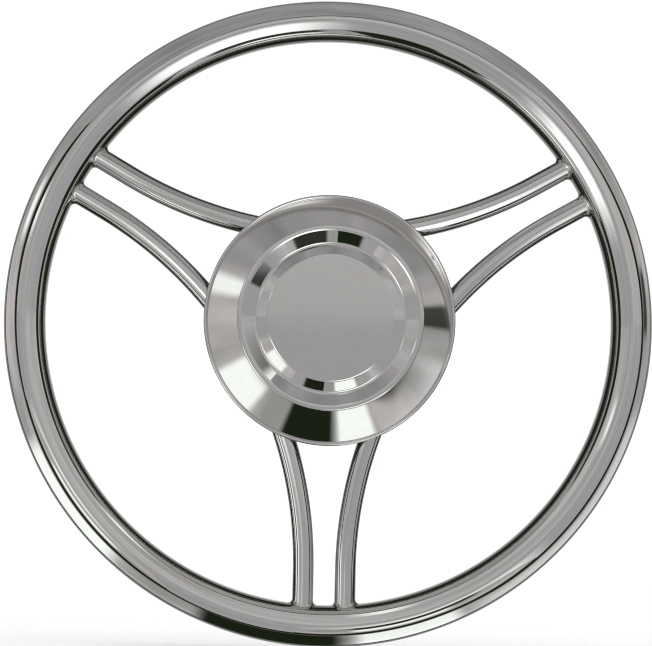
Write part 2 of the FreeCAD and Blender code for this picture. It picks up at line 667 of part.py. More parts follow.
sk.addGeometry(Part.Circle(Vector(0, -44.4, 0), Vector(0, 0, 1), 4.75), False)
sk.addConstraint(Sketcher.Constraint("PointOnObject", 0, 3, -2))
con(sk, "circle", "DistanceY", 0, 3, -1, 1, 44.4)
con(sk, "head", "Radius", 0, 4.75)
bind(sk, "circle", "Dims.post_circle")
bind(sk, "head", "Dims.screw_head_radius")
sk.setExpression("AttachmentOffset.Base.z", "-(%s)" % WASHER_REAR)
head = screws.newObject("PartDesign::Pad", "head_pad")
head.Profile = sk
head.setExpression("Length", "Dims.screw_head_height")
head.Reversed = True
doc.recompute()
names = []
for k, e in enumerate(head.Shape.Edges):
    c = e.Curve
    if isinstance(c, Part.Circle) and abs(c.Radius - dim("screw_head_radius")) < 0.01 \
            and abs(c.Center.y - washer_rear - dim("screw_head_height")) < 0.01:
        names.append("Edge%d" % (k + 1))
dome = screws.newObject("PartDesign::Fillet", "head_dome")
dome.Base = (head, names)
dome.Radius = 2.2
doc.recompute()
sk = new_sketch(screws, "socket_outline", "XZ_Plane")
af = dim("screw_hex")
rc = af / math.sqrt(3)
hexpts = [(rc * math.cos(math.radians(60 * k)), -44.4 + rc * math.sin(math.radians(60 * k))) for k in range(6)]
first = polyline(sk, hexpts)
sk.addGeometry(Part.Circle(Vector(0, -44.4, 0), Vector(0, 0, 1), rc), True)
for k in range(6):
    sk.addConstraint(Sketcher.Constraint("PointOnObject", first + k, 1, 6))
for k in range(1, 6):
    sk.addConstraint(Sketcher.Constraint("Equal", first, first + k))
sk.addConstraint(Sketcher.Constraint("PointOnObject", 6, 3, -2))
con(sk, "circle", "DistanceY", 6, 3, -1, 1, 44.4)
con(sk, "corners", "Radius", 6, rc)
bind(sk, "circle", "Dims.post_circle")
bind(sk, "corners", "Dims.screw_hex / 1.7320508")
sk.addConstraint(Sketcher.Constraint("Horizontal", first + 1))
sk.setExpression("AttachmentOffset.Base.z", "-(%s + Dims.screw_head_height)" % WASHER_REAR)
sock = screws.newObject("PartDesign::Pocket", "socket_cut")
sock.Profile = sk
sock.setExpression("Length", "Dims.screw_hex_depth")
sock.Reversed = True
doc.recompute()
print("screw volume %.1f before socket, %.1f after" % (dome.Shape.Volume, sock.Shape.Volume))
if not sock.Shape.Volume < dome.Shape.Volume - 5:
    raise RuntimeError("the socket cut nothing")
pat = screws.newObject("PartDesign::PolarPattern", "screw_pattern")
pat.Originals = [shank, head, dome, sock]
pat.Axis = (plane(screws, "Y_Axis"), [""])
pat.Angle = 360
pat.Occurrences = 3
screws.Tip = pat
doc.recompute()
print("cap_screws solids", len(pat.Shape.Solids))
screws.Placement = Placement(Vector(0, 0, 0), Rotation())
SUBPARTS.append(screws)

# ---------------------------------------------------------------- lock washers
washers = new_body("cap_lock_washers")
sk = new_sketch(washers, "washer_outline", "XZ_Plane")
sk.addGeometry(Part.Circle(Vector(0, -44.4, 0), Vector(0, 0, 1), 4.6), False)
sk.addGeometry(Part.Circle(Vector(0, -44.4, 0), Vector(0, 0, 1), 2.6), False)
sk.addConstraint(Sketcher.Constraint("PointOnObject", 0, 3, -2))
sk.addConstraint(Sketcher.Constraint("Coincident", 0, 3, 1, 3))
con(sk, "circle", "DistanceY", 0, 3, -1, 1, 44.4)
con(sk, "outer", "Radius", 0, 4.6)
con(sk, "inner", "Radius", 1, 2.6)
bind(sk, "circle", "Dims.post_circle")
bind(sk, "outer", "Dims.washer_outer")
bind(sk, "inner", "Dims.washer_inner")
sk.setExpression("AttachmentOffset.Base.z", "-(%s)" % WASHER_REAR)
ring = washers.newObject("PartDesign::Pad", "washer_pad")
ring.Profile = sk
ring.setExpression("Length", "Dims.washer_thickness")
doc.recompute()
sk = new_sketch(washers, "slit_outline", "XZ_Plane")
ws = dim("washer_slit") / 2
bound_polyline(sk, [(-ws, -44.4 - 6), (ws, -44.4 - 6), (ws, -44.4), (-ws, -44.4)],
               [("-Dims.washer_slit / 2", "-Dims.post_circle - 6"), ("Dims.washer_slit / 2", "-Dims.post_circle - 6"),
                ("Dims.washer_slit / 2", "-Dims.post_circle"), ("-Dims.washer_slit / 2", "-Dims.post_circle")])
slit = washers.newObject("PartDesign::Pocket", "slit_cut")
slit.Profile = sk
slit.Type = "ThroughAll"
slit.Midplane = True
doc.recompute()
pat = washers.newObject("PartDesign::PolarPattern", "washer_pattern")
pat.Originals = [ring, slit]
pat.Axis = (plane(washers, "Y_Axis"), [""])
pat.Angle = 360
pat.Occurrences = 3
washers.Tip = pat
doc.recompute()
print("cap_lock_washers solids", len(pat.Shape.Solids), "volume %.2f" % pat.Shape.Volume)
washers.Placement = Placement(Vector(0, 0, 0), Rotation())
SUBPARTS.append(washers)

# ---------------------------------------------------------------- write
doc.recompute()
bad = [o.Name for o in doc.Objects if "Invalid" in o.State or "Error" in o.State]
if bad:
    raise RuntimeError("failed objects: " + ", ".join(bad))
total = 0.0
for obj in SUBPARTS:
    shape = obj.Shape
    if shape.isNull() or not shape.isValid() or not shape.Solids:
        raise RuntimeError("bad shape: " + obj.Label)
    total += shape.Volume
os.makedirs("parts", exist_ok=True)
for obj in SUBPARTS:
    obj.Shape.exportStep(os.path.join("parts", obj.Label + ".step"))
    bb = obj.Shape.BoundBox
    print("%-24s solids %d volume %10.1f  x %.1f..%.1f y %.1f..%.1f z %.1f..%.1f" % (
        obj.Label, len(obj.Shape.Solids), obj.Shape.Volume, bb.XMin, bb.XMax, bb.YMin, bb.YMax, bb.ZMin, bb.ZMax))
print("nodes", len(SUBPARTS), "total volume %.0f mm3, at 7.93 g/cm3 %.2f kg" % (total, total * 7.93e-6))
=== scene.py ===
import math

import bpy
import numpy as np
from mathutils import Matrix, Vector


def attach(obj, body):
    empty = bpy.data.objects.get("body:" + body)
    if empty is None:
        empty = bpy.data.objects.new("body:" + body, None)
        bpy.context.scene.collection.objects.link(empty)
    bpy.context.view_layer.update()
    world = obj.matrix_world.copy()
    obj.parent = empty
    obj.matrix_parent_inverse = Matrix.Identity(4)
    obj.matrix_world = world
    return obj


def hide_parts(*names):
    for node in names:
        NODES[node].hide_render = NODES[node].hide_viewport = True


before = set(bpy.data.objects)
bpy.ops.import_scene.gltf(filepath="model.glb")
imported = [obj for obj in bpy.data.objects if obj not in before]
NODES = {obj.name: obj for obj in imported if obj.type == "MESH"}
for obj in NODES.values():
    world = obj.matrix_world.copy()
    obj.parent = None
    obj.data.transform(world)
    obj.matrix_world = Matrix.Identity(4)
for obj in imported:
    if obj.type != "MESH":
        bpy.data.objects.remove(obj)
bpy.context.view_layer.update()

scene = bpy.context.scene

# Boat steering wheel, in metres. Origin at the wheel's centre in the rim's
# middle plane, +Y towards the helm (the back), +Z up. "Clock" is an angle seen
# from the front: 0 straight up, growing clockwise.

MM = 0.001

# ------------------------------------------------------------ dimensions (mm)
RING, TUBE = 184.15, 12.7
SPOKE, PAIR = 6.35, 12.7
BEND, BEND_Z = 247.1076, 300.0
WELD_R = 2.4
PLATE_FRONT, PLATE_REAR = 6.35, 9.35
BOSS_R, SPIGOT_R, LEG = 23.0, 19.0, 4.0
LIP_R, LIP_BEAD, CAP_BASE, SHEET = 76.2, 1.0, 6.55, 1.2


# ------------------------------------------------------------------- meshes
def build(name, verts, faces, smooth=True, tube=None, loop_normals=None):
    """A mesh object from points in mm and faces; tube is a vector per point that the finishes use."""
    mesh = bpy.data.meshes.new(name)
    v = np.asarray(verts, float) * MM
    mesh.from_pydata([tuple(p) for p in v], [], [tuple(int(i) for i in f) for f in faces])
    mesh.validate(clean_customdata=False)
    mesh.update()
    if smooth:
        mesh.polygons.foreach_set("use_smooth", [True] * len(mesh.polygons))
    if tube is not None:
        a = mesh.attributes.new("tube", "FLOAT_VECTOR", "POINT")
        a.data.foreach_set("vector", np.asarray(tube, np.float32).ravel())
    if loop_normals is not None:
        mesh.normals_split_custom_set([tuple(n) for n in loop_normals])
    ob = bpy.data.objects.new(name, mesh)
    scene.collection.objects.link(ob)
    return ob


def clock_dir(deg):
    a = math.radians(deg)
    return np.array([math.sin(a), 0.0, math.cos(a)])


def rim_sdf(p):
    return math.hypot(math.hypot(p[0], p[2]) - RING, p[1]) - TUBE


def make_rim():
    nu, nv = 640, 112
    verts, tube = [], []
    for i in range(nu):
        a = 2 * math.pi * i / nu
        for j in range(nv):
            b = 2 * math.pi * j / nv
            rr = RING + TUBE * math.cos(b)
            verts.append((rr * math.sin(a), TUBE * math.sin(b), rr * math.cos(a)))
            tube.append((a * RING * MM, TUBE * math.cos(b) * MM, TUBE * math.sin(b) * MM))
    faces = []
    for i in range(nu):
        for j in range(nv):
            k, l = (i + 1) % nu, (j + 1) % nv
            faces.append((i * nv + j, k * nv + j, k * nv + l, i * nv + l))
    return build("rim_polished", verts, faces, tube=tube)


def turned(p, deg):
    """Turns points of the top bow about +Y so that straight up goes to that clock angle."""
    a = math.radians(deg)
    c, s = math.cos(a), math.sin(a)
    p = np.asarray(p, float)
    return np.stack([p[:, 0] * c + p[:, 2] * s, p[:, 1], -p[:, 0] * s + p[:, 2] * c], -1)


def make_bow(name, deg):
    """Spoke tube: straight end, long bend past the hub, straight end, both ends shaped to the rim."""
    nv, n_end, n_arc = 56, 16, 220
    end = np.array([BEND * 0.5, 0.0, BEND_Z - BEND * math.cos(math.radians(30))])
    u = np.array([math.cos(math.radians(30)), 0.0, math.sin(math.radians(30))])
    psi = 2 * np.pi * np.arange(nv) / nv
    side = np.array([-u[2], 0.0, u[0]])
    reach = []
    for q in psi:
        base = end + SPOKE * (math.cos(q) * side + math.sin(q) * np.array([0, 1.0, 0]))
        lo, hi = 0.0, 32.0
        for _ in range(40):
            mid = (lo + hi) / 2
            if rim_sdf(base + u * mid) > -0.5:
                lo = mid
            else:
                hi = mid
        reach.append(lo)
    rings, along = [], []
    for k in range(n_end, 0, -1):
        f = (k / n_end) ** 0.9
        ring = [end + u * (f * reach[j]) + SPOKE * (math.cos(q) * side + math.sin(q) * np.array([0, 1.0, 0]))
                for j, q in enumerate(psi)]
        rings.append(np.array(ring))
        along.append(BEND * math.pi / 6 + f * 21.0)
    half = []
    for i in range(n_arc + 1):
        t = math.radians(30) * (1 - 2 * i / n_arc)
        c = np.array([BEND * math.sin(t), 0.0, BEND_Z - BEND * math.cos(t)])
        out = np.array([-math.sin(t), 0.0, math.cos(t)])
        rings.append(np.array([c + SPOKE * (math.cos(q) * out + math.sin(q) * np.array([0, 1.0, 0])) for q in psi]))
        along.append(BEND * t)
    mirror = [r * np.array([-1.0, 1.0, 1.0]) for r in rings[:n_end]][::-1]
    rings += mirror
    along += [-a for a in along[:n_end]][::-1]
    verts = np.concatenate(rings)
    n = len(rings)
    tube = [(a * MM, SPOKE * math.cos(q) * MM, SPOKE * math.sin(q) * MM) for a in along for q in psi]
    faces = []
    for i in range(n - 1):
        for j in range(nv):
            l = (j + 1) % nv
            faces.append((i * nv + j, i * nv + l, (i + 1) * nv + l, (i + 1) * nv + j))
    faces.append(tuple(range(nv))[::-1])
    faces.append(tuple((n - 1) * nv + j for j in range(nv)))
    return build(name, turned(verts, deg), faces, tube=tube)


# ------------------------------------------------------------------- the cap
def cap_front():
    """The cap's front outline as runs (point, normal) from the centre to the foot; r and y in mm."""
    corners = [((0, 16.8), 0), ((38.2, 16.8), 2.2), ((45.0, 12.8), 2.0), ((53.0, 18.0), 3.0),
               ((55.6, 18.0), 1.6), ((74.6, 0.9), 0)]
    pts = [np.array(c[0], float) for c in corners]
    runs = []
    at = pts[0]
    room = 1e9
    for i in range(1, len(pts) - 1):
        a, b = pts[i - 1] - pts[i], pts[i + 1] - pts[i]
        a /= np.linalg.norm(a)
        b /= np.linalg.norm(b)
        th = math.acos(max(-1, min(1, float(a @ b))))
        t = min(corners[i][1] / math.tan(th / 2), room)
        r = t * math.tan(th / 2)
        room = np.linalg.norm(pts[i + 1] - pts[i]) - t
        p0, p1 = pts[i] + a * t, pts[i] + b * t
        cen = pts[i] + (a + b) / np.linalg.norm(a + b) * r / math.sin(th / 2)
        runs.append(("line", at, p0))
        runs.append(("arc", cen, r, p0, p1))
        at = p1
    runs.append(("line", at, pts[-1]))
    out = []
    for run in runs:
        if run[0] == "line":
            p, q = run[1], run[2]
            d = q - p
            length = np.linalg.norm(d)
            if length < 1e-6:
                continue
            d /= length
            n = np.array([-d[1], d[0]])
            steps = max(2, int(length / 3.0))
            seg = [(p + d * length * k / steps, n) for k in range(steps + 1)]
        else:
            cen, r, p0, p1 = run[1:]
            a0 = math.atan2(*(p0 - cen)[::-1])
            a1 = math.atan2(*(p1 - cen)[::-1])
            da = (a1 - a0 + math.pi) % (2 * math.pi) - math.pi
            steps = max(6, int(abs(math.degrees(da)) / 3.2))
            seg = []
            for k in range(steps + 1):
                v = np.array([math.cos(a0 + da * k / steps), math.sin(a0 + da * k / steps)])
                n = v if da < 0 else -v
                seg.append((cen + r * v, n))
        out.append(seg)
    # to (r, y), normals too: heights run towards -Y
    res = []
    for seg in out:
        res.append([(np.array([p[0], -CAP_BASE - p[1]]), np.array([n[0], -n[1]])) for p, n in seg])
    return res


def make_cap():
    front = cap_front()
    bead = np.array([LIP_R - LIP_BEAD, -CAP_BASE - LIP_BEAD])
    # the long slope ends where it runs into the lip's bead
    p, n = front[-1][0]
    q, _ = front[-1][-1]
    d = (q - p) / np.linalg.norm(q - p)
    f = p - bead
    bb, cc = f @ d, f @ f - LIP_BEAD ** 2
    t = -bb - math.sqrt(bb * bb - cc)
    steps = 12
    front[-1] = [(p + d * t * k / steps, n) for k in range(steps + 1)]
    hit = p + d * t
    a0 = math.atan2(*(hit - bead)[::-1])
    a1 = math.pi / 2
    while a0 > a1:
        a0 -= 2 * math.pi
    lip = []
    for k in range(29):
        a = a0 + (a1 - a0) * k / 28
        v = np.array([math.cos(a), math.sin(a)])
        lip.append((bead + LIP_BEAD * v, v))
    inner = []
    for seg in reversed(cap_front()):
        inner.append([(p - n * SHEET, -n) for p, n in reversed(seg)])
    # the inner slope stops at the inner wall
    wall = 74.6 - SHEET
    p, n = inner[0][-1]
    q, _ = inner[0][0]
    d = (q - p) / np.linalg.norm(q - p)
    t = (wall - p[0]) / d[0]
    top = p + d * t
    inner[0] = [(top + (p - top) * k / 4, n) for k in range(5)]
    back = [(np.array([LIP_R - LIP_BEAD, -CAP_BASE]), np.array([0.0, 1.0])),
            (np.array([wall, -CAP_BASE]), np.array([0.0, 1.0]))]
    side = [(np.array([wall, -CAP_BASE]), np.array([-1.0, 0.0])), (top, np.array([-1.0, 0.0]))]
    segs = front + [lip, back, side] + inner
    nu = 400
    verts, tube = [], []

    def ring(pt, length):
        if pt[0] < 1e-6:
            verts.append((0.0, pt[1], 0.0))
            tube.append((0.0, pt[1] * MM, length * MM))
            return ("pole", len(verts) - 1)
        start = len(verts)
        for i in range(nu):
            a = 2 * math.pi * i / nu
            verts.append((pt[0] * math.sin(a), pt[1], pt[0] * math.cos(a)))
            tube.append((pt[0] * MM, pt[1] * MM, length * MM))
        return ("ring", start)

    faces, normals = [], []
    prev_pt, prev, length = None, None, 0.0
    dirs = [(math.sin(2 * math.pi * i / nu), math.cos(2 * math.pi * i / nu)) for i in range(nu)]

    def n3(n, i):
        s, c = dirs[i % nu]
        return (n[0] * s, n[1], n[0] * c)

    for seg in segs:
        ids = []
        for k, (pt, n) in enumerate(seg):
            if prev_pt is not None and np.linalg.norm(pt - prev_pt) < 1e-5:
                ids.append(prev)
                continue
            if prev_pt is not None:
                length += float(np.linalg.norm(pt - prev_pt))
            prev = ring(pt, length)
            prev_pt = pt
            ids.append(prev)
        for k in range(len(seg) - 1):
            a, b = ids[k], ids[k + 1]
            if a == b:
                continue
            na, nb = seg[k][1], seg[k + 1][1]
            # the outside of the metal is on the side of the outline's normal
            step = seg[k + 1][0] - seg[k][0]
            flip = step[0] * (na + nb)[1] - step[1] * (na + nb)[0] < 0
            for i in range(nu):
                j = (i + 1) % nu
                if a[0] == "pole":
                    f, m = [a[1], b[1] + i, b[1] + j], [n3(na, i), n3(nb, i), n3(nb, j)]
                elif b[0] == "pole":
                    f, m = [a[1] + i, b[1], a[1] + j], [n3(na, i), n3(nb, i), n3(na, j)]
                else:
                    f, m = [a[1] + i, b[1] + i, b[1] + j, a[1] + j], [n3(na, i), n3(nb, i), n3(nb, j), n3(na, j)]
                if flip:
                    f, m = f[::-1], m[::-1]
                faces.append(f)
                normals += m
    ob = build("cap_pressed", verts, faces, tube=tube, loop_normals=normals)
    return ob


# ----------------------------------------------------------------- the welds
def sweep_closed(name, sections, tube, loop=True):
    """A closed solid from sections (each a closed ring of points); loop joins the last to the first."""
    n, m = len(sections), len(sections[0])
    verts = np.concatenate(sections)
    faces = []
    last = n if loop else n - 1
    for i in range(last):
        k = (i + 1) % n
        for j in range(m):
            l = (j + 1) % m
            faces.append((i * m + j, i * m + l, k * m + l, k * m + j))
    if not loop:
        faces.append(tuple(range(m))[::-1])
        faces.append(tuple((n - 1) * m + j for j in range(m)))
    ob = build(name, verts, faces, tube=tube)
    return ob


def fix_normals(ob):
    import bmesh
    bm = bmesh.new()
    bm.from_mesh(ob.data)
    bmesh.ops.recalc_face_normals(bm, faces=bm.faces)
    bm.to_mesh(ob.data)
    bm.free()
    ob.data.polygons.foreach_set("use_smooth", [True] * len(ob.data.polygons))
    ob.data.update()


def make_rim_weld(name, pair_deg, side_sign, seed):
    """The fillet all round a spoke's end, with the small overlapping ripples of the weld pool, polished down."""
    u = clock_dir(pair_deg)
    a = math.radians(pair_deg)
    across = np.array([math.cos(a), 0.0, -math.sin(a)])
    start = u * 150.0 + across * side_sign * PAIR
    yv = np.array([0.0, 1.0, 0.0])
    n_psi, n_arc = 150, 16
    rng = np.random.default_rng(seed)
    wob = [(rng.uniform(0.006, 0.02), rng.integers(2, 6), rng.uniform(0, 6.28)) for _ in range(4)]
    sections, tube = [], []
    for i in range(n_psi):
        psi = 2 * math.pi * i / n_psi
        radial = math.cos(psi) * across + math.sin(psi) * yv
        rr = WELD_R
        base = start + radial * (SPOKE + rr)
        lo, hi = 0.0, 34.0
        for _ in range(42):
            mid = (lo + hi) / 2
            if rim_sdf(base + u * mid) > rr:
                lo = mid
            else:
                hi = mid
        c = base + u * lo
        ring_c = np.array([c[0], 0.0, c[2]])
        ring_c = ring_c / np.linalg.norm(ring_c) * RING
        n_rim = (c - ring_c) / np.linalg.norm(c - ring_c)
        v0, v1 = -radial, -n_rim
        ang = math.acos(max(-1, min(1, float(v0 @ v1))))
        sec = []
        wobble = sum(w * math.sin(k * psi + ph) for w, k, ph in wob)
        for k in range(n_arc + 1):
            f = k / n_arc
            v = (math.sin((1 - f) * ang) * v0 + math.sin(f * ang) * v1) / math.sin(ang)
            bulge = math.sin(math.pi * f)
            phase = 34 * psi + 2.2 * (f - 0.5) ** 2 * 4
            ripple = 0.010 * bulge * math.cos(phase) + bulge * (0.03 + wobble)
            sec.append(c + v * (rr - ripple))
            tube.append((psi * SPOKE * MM, f * 4 * MM, 0.0))
        # the hidden inside of the fillet, a little under both tubes
        p1 = c + v1 * (rr + 0.35)
        p0 = c + v0 * (rr + 0.35)
        deep = c + (v0 + v1) / np.linalg.norm(v0 + v1) * (rr / max(0.3, math.cos(ang / 2)) + 0.2)
        for p in (p1, deep, p0):
            sec.append(p)
            tube.append((psi * SPOKE * MM, 4 * MM, 0.0))
        sections.append(np.array(sec))
    ob = sweep_closed(name, sections, tube)
    fix_normals(ob)
    return ob


def make_bow_weld(name, deg, outward, seed):
    """A run of weld beads between a bow and the plate; section flat on the plate, rippled on the outside."""
    s = 1.0 if outward else -1.0
    half = math.radians(4.8)
    apex = BEND_Z - BEND
    n_run, n_face = 120, 12
    rng = np.random.default_rng(seed)
    jitter = rng.uniform(-0.05, 0.05, 40)
    top_a = math.radians(62)
    p_far = np.array([PLATE_FRONT - 0.02, s * 5.6])
    p_top = np.array([SPOKE * math.cos(top_a), s * SPOKE * math.sin(top_a)])
    p_in0 = np.array([SPOKE * math.cos(math.radians(40)) - 0.2, s * (SPOKE * math.sin(math.radians(40)) - 0.2)])
    p_in1 = np.array([PLATE_FRONT, s * 1.9])
    sections, tube = [], []
    for i in range(n_run + 1):
        f = i / n_run
        t = -half + 2 * half * f
        taper = min(1.0, (math.sin(math.pi * f) / math.sin(math.pi * 0.06)) if f < 0.06 or f > 0.94 else 1.0)
        length = 2 * half * (BEND - 5) * f
        sec = []
        for k in range(n_face + 1):
            g = k / n_face
            p = p_far + (p_top - p_far) * g
            nrm = np.array([-(p_top - p_far)[1], (p_top - p_far)[0]])
            nrm /= np.linalg.norm(nrm)
            if nrm @ (p - np.array([0.0, 0.0])) < 0:
                nrm = -nrm
            mid = math.sin(math.pi * g)
            phase = 2 * math.pi * length / 1.5 - 1.7 * (1 - (2 * g - 1) ** 2)
            j = jitter[int(length / 1.5) % 40]
            sec.append(p + nrm * mid * (-0.25 + 0.10 * math.cos(phase) + j) * 1.0)
            tube.append((length * MM, g * 4 * MM, 0.0))
        for p in (p_in0, p_in1):
            sec.append(p)
            tube.append((length * MM, 4 * MM, 0.0))
        sec = np.array(sec)
        # ends of the run pull in towards the corner between tube and plate
        corner = np.array([PLATE_FRONT - 1.2, s * 3.2])
        sec = corner + (sec - corner) * (0.55 + 0.45 * taper)
        ring = []
        for p in sec:
            rad = BEND - p[1]
            ring.append([rad * math.sin(t), p[0], BEND_Z - rad * math.cos(t)])
        sections.append(turned(np.array(ring), deg))
    ob = sweep_closed(name, sections, tube, loop=False)
    fix_normals(ob)
    return ob


def make_ring_weld(name, radius, face_y, sign, seed):
    """A ring of weld between a round body and the plate, hollow face with ripples."""
    n_run, n_face = 420, 14
    rng = np.random.default_rng(seed)
    jitter = rng.uniform(-0.06, 0.06, 97)
    sections, tube = [], []
    count = int(2 * math.pi * radius / 1.7)
    for i in range(n_run):
        a = 2 * math.pi * i / n_run
        sec = []
        for k in range(n_face + 1):
            g = k / n_face
            # a concave quarter between the plate and the wall
            ang = math.pi / 2 * g
            r = radius + LEG - LEG * math.sin(ang) * 0.985
            y = LEG - LEG * math.cos(ang) * 0.985
            # between the straight chord and the full hollow
            cr, cy = radius + LEG * (1 - g), LEG * g
            r, y = 0.8 * r + 0.2 * cr, 0.8 * y + 0.2 * cy
            phase = count * a - 1.9 * (1 - (2 * g - 1) ** 2)
            j = jitter[int(count * a / (2 * math.pi)) % 97]
            mid = math.sin(math.pi * g)
            off = mid * (0.11 * math.cos(phase) + j - 0.15)
            sec.append((r + off * 0.707, face_y + sign * (y + off * 0.707)))
            tube.append((a * radius * MM, g * 4 * MM, 0.0))
        for p in ((radius - 0.3, face_y + sign * (LEG - 0.2)), (radius - 0.3, face_y - sign * 0.3),
                  (radius + LEG - 0.2, face_y - sign * 0.3)):
            sec.append(p)
            tube.append((a * radius * MM, 4 * MM, 0.0))
        sections.append(np.array([[r * math.sin(a), y, r * math.cos(a)] for r, y in sec]))
    ob = sweep_closed(name, sections, tube)
    fix_normals(ob)
    return ob


# ------------------------------------------------------------- node writing
class Tree:
    """Small writer of shader nodes: numbers and sockets mix freely."""

    def __init__(self, tree):
        self.t = tree
        self.count = 0

    def new(self, kind, **props):
        n = self.t.nodes.new(kind)
        n.location = (180 * (self.count % 40), -200 * (self.count // 40))
        self.count += 1
        for k, v in props.items():
            setattr(n, k, v)
        return n

    def put(self, socket, value):
        if isinstance(value, bpy.types.NodeSocket):
            self.t.links.new(value, socket)
        elif value is not None:
            socket.default_value = value

    def math(self, op, a, b=None, c=None, clamp=False):
        n = self.new("ShaderNodeMath", operation=op, use_clamp=clamp)
        for i, v in enumerate((a, b, c)):
            if v is not None:
                self.put(n.inputs[i], v)
        return n.outputs[0]

    def vec(self, op, a, b=None, c=None, scale=None):
        n = self.new("ShaderNodeVectorMath", operation=op)
        for i, v in enumerate((a, b, c)):
            if v is not None:
                self.put(n.inputs[i], v)
        if scale is not None:
            self.put(n.inputs["Scale"], scale)
        return n.outputs["Value"] if op in ("LENGTH", "DOT_PRODUCT", "DISTANCE") else n.outputs["Vector"]

    def split(self, v):
        n = self.new("ShaderNodeSeparateXYZ")
        self.put(n.inputs[0], v)
        return n.outputs[0], n.outputs[1], n.outputs[2]

    def join(self, x, y, z=0.0):
        n = self.new("ShaderNodeCombineXYZ")
        for i, v in enumerate((x, y, z)):
            self.put(n.inputs[i], v)
        return n.outputs[0]

    def smooth(self, x, lo, hi, a=0.0, b=1.0):
        n = self.new("ShaderNodeMapRange", interpolation_type="SMOOTHSTEP")
        for i, v in enumerate((x, lo, hi, a, b)):
            self.put(n.inputs[i], v)
        return n.outputs[0]

    def linear(self, x, lo, hi, a=0.0, b=1.0):
        n = self.new("ShaderNodeMapRange", interpolation_type="LINEAR", clamp=True)
        for i, v in enumerate((x, lo, hi, a, b)):
            self.put(n.inputs[i], v)
        return n.outputs[0]

    def mix(self, f, a, b):
        n = self.new("ShaderNodeMix", data_type="RGBA", blend_type="MIX")
        self.put(n.inputs[0], f)
        self.put(n.inputs[6], rgba(a))
        self.put(n.inputs[7], rgba(b))
        return n.outputs[2]

    def ramp(self, x, stops):
        n = self.new("ShaderNodeValToRGB")
        r = n.color_ramp
        r.interpolation = "LINEAR"
        while len(r.elements) < len(stops):
            r.elements.new(0.5)
        for e, (pos, col) in zip(r.elements, stops):
            e.position = pos
        for e, (pos, col) in zip(r.elements, stops):
            e.color = rgba(col)
        self.put(n.inputs[0], x)
        return n.outputs[0]

    def noise(self, vector, scale, detail=2.0, rough=0.5, w=None, color=False, dist=0.0):
        n = self.new("ShaderNodeTexNoise", noise_dimensions="4D" if w is not None else "3D")
        self.put(n.inputs["Vector"], vector)
        if w is not None:
            self.put(n.inputs["W"], w)
        n.inputs["Scale"].default_value = scale
        n.inputs["Detail"].default_value = detail
        n.inputs["Roughness"].default_value = rough
        n.inputs["Distortion"].default_value = dist
        return n.outputs["Color"] if color else n.outputs[0]


def rgba(c):
    if isinstance(c, (tuple, list)):
        return tuple(c) if len(c) == 4 else (c[0], c[1], c[2], 1.0)
    return c


STEEL = (0.72, 0.70, 0.69)


# -------------------------------------------------------------- studio light
# A wide grey screen in front with five soft lamps and three gaps at its lower edge,
# dark room beside the wheel and a grey backdrop behind it. A glowing ring of card with a
# dark line round it stands close to the wheel, taller in front of two of the lamps; its
# glow, its bright and dark sectors and its darker top are painted light and shade.
# Directions are in degrees: the clock, and the angle from straight ahead as the
# flat centre of the cap mirrors it.
AXIS = (math.sin(math.radians(5.6)) * math.sin(math.radians(22)),
        math.sin(math.radians(5.6)) * math.cos(math.radians(22)))
SHADE, BLACK, LIGHT = (0.14, 0.155, 0.16), (0.014, 0.020, 0.010), (1.28, 1.36, 1.32)

LAMPS = [
    # (clock from, to, angle from, to, edges, colour, strength)
    (142, 176, 15, 58, 10, 10, (1.75, 1.82, 1.80), 1),
    (226, 247, 15, 58, 9, 10, (1.75, 1.82, 1.80), 1),
    (285, 293, 28, 42, 3, 4, LIGHT, .9),
    (344, 353, 42, 60, 4, 4, LIGHT, .9),
    (35, 48, 58, 74, 5, 5, LIGHT, .9),
    (176, 201, 56, 90, 1.6, 3, BLACK, 1),
    # the gaps
    (112, 129, 63.4, 90, 1.6, .6, BLACK, .95),
    (147, 173, 63.4, 90, 1.6, .6, BLACK, .95),
    (187, 208, 63.4, 90, 1.6, .6, BLACK, .95),
]

# the ring of card: radius, back edge, and its white or black sectors of painted light and shade
CARD_R, CARD_BACK = 265.0, 38.0
SECTORS = [
    # (clock from, to, y from, to, edges, colour, strength)
    # painted shade: the card glows darker at the top; the pale and white sectors are painted light
    (300, 60, -400, 80, 35, 8, SHADE, .45),
    (106, 150, -30, 80, 5, 12, (0.86, 0.88, 0.88), .8),
    (154, 173, -66, 80, 2, 5, LIGHT, 1),
    (176, 203, -70, 80, 2, 5, BLACK, 1),
    (222, 247, -58, 80, 2.5, 5, LIGHT, 1),
    (78, 90, -44, -12, 2, 5, BLACK, .9),
    (286, 296, -44, -8, 3, 5, LIGHT, .9),
    (154, 173, -172, -122, 1.6, 5, LIGHT, 1),
    (223, 243, -172, -122, 1.6, 5, LIGHT, 1),
    (147, 173, -400, -180, 1.6, 5, BLACK, .95),
]
# its dark line and its front edge: clock, line in front of the rim's middle plane, half width, front edge
SEAM = [(0, 205, 12, 228), (34, 198, 10, 220), (35, 190, .3, 212), (41, 108, .3, 130), (42, 106, 6, 128),
        (60, 84, 14, 106), (72, 68, 18, 80), (100, 60, 16, 68), (125, 62, 17, 70), (136, 62, 18, 72),
        (143, 66, 18, 320), (158, 82, 18, 320), (178, 86, 16, 320), (185, 86, 16, 92), (210, 84, 16, 90),
        (217, 84, 18, 320), (235, 86, 20, 320), (249, 92, 20, 320), (256, 96, 20, 106), (284, 80, 24, 94),
        (297, 84, 24, 104), (304, 90, 20, 114), (310, 98, 14, 126), (311, 106, .3, 130), (317, 190, .3, 215),
        (318, 196, 8, 220), (326, 215, 12, 250), (336, 232, 12, 262), (348, 215, 12, 250), (360, 205, 12, 228)]


